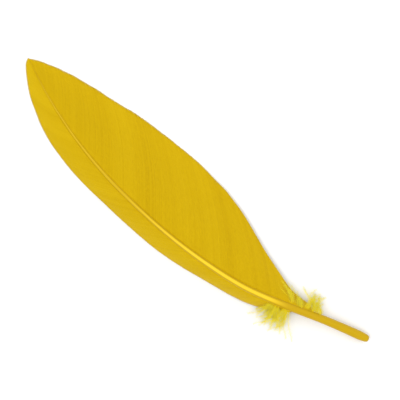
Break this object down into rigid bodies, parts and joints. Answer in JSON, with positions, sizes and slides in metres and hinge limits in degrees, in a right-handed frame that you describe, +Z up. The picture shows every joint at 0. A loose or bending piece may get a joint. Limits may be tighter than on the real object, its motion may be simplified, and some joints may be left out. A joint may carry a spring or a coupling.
{
  "type": "feather",
  "caption": "Loose dyed wing feather that lies arched on a surface, with a horny quill and shaft, a narrow vane, a wide vane and down at their foot.",
  "frame": {"origin": "middle of the feather's box, on the surface that the feather lies on", "axes": "+Y from the quill's end to the feather's tip, +X towards the wide vane, +Z up, out of the feather's back"},
  "size_m": [0.0228, 0.1064, 0.0057],
  "materials": {
    "vane": "fine parallel barbs dyed golden yellow, with a soft silky sheen",
    "shaft": "smooth horn, dyed a paler yellow than the vanes, satin gloss",
    "down": "loose fluffy barbs, dyed a paler yellow, matt"
  },
  "bodies": {
    "root": {"feather": "vane"}
  },
  "joints": []
}
